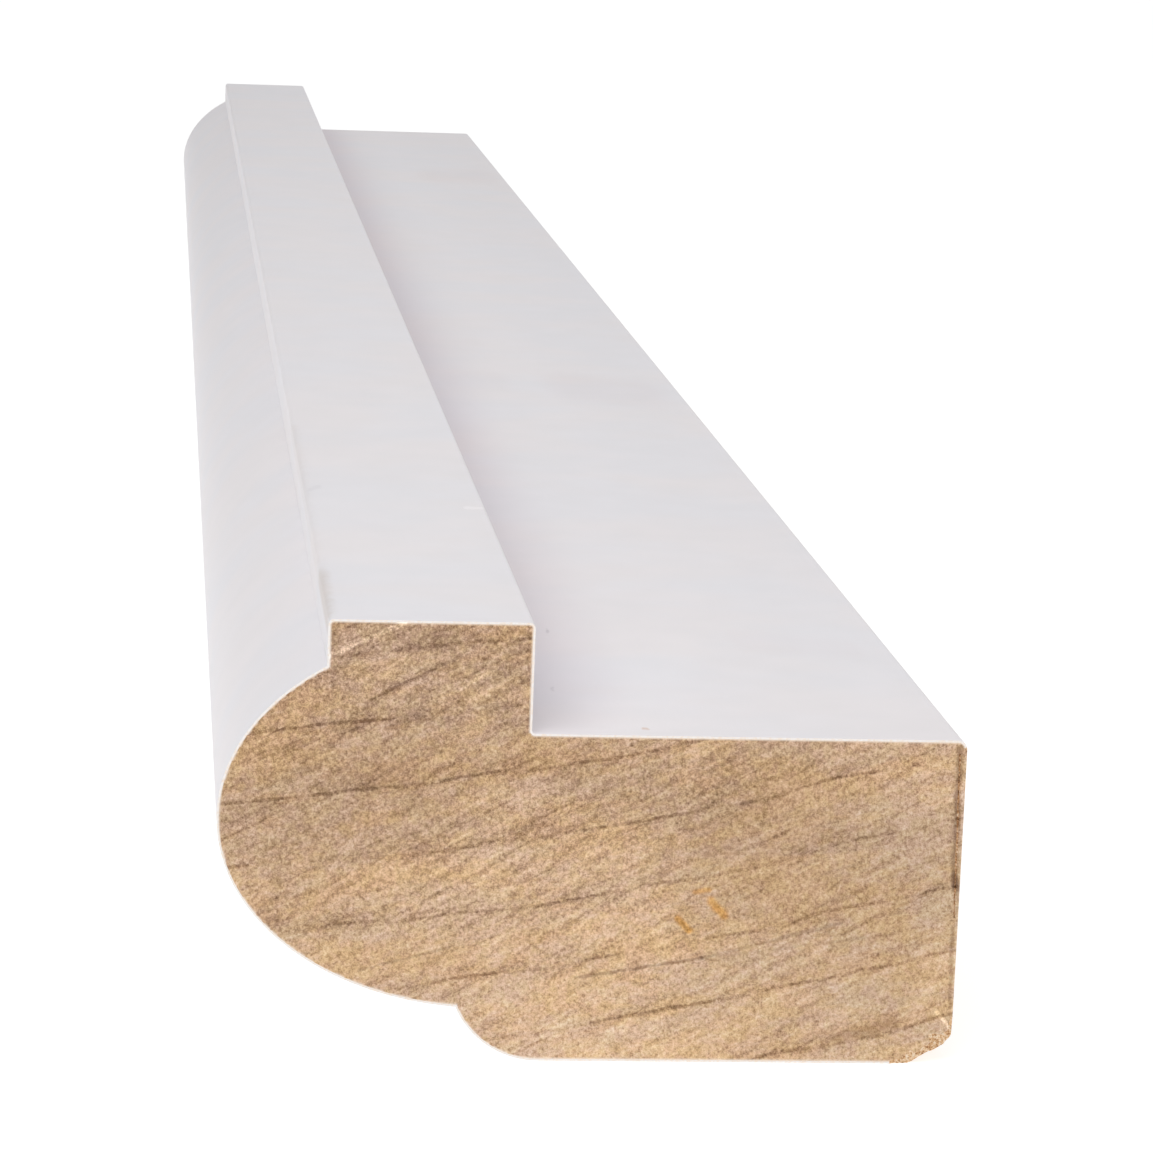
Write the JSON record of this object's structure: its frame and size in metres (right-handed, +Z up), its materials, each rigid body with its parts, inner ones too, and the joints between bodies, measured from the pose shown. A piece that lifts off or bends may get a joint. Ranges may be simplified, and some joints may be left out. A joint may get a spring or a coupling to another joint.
{
  "type": "light rail moulding",
  "caption": "Straight length of painted solid wood light rail with a rounded bead, a raised lip and a rabbet, sawn square at both ends to trim the underside of a wall cabinet.",
  "frame": {"origin": "middle of the moulding's length and width, on its flat underside", "axes": "+Y along the length, away from the chipped end; +X towards the bare fixing edge, so the bead faces -X; +Z up out of the rabbet"},
  "size_m": [0.0318, 0.305, 0.0191],
  "materials": {
    "painted_wood": "satin white paint over wood, with bare end grain at both ends and a bare fixing edge"
  },
  "bodies": {
    "root": {"moulding": "painted_wood"}
  },
  "joints": []
}
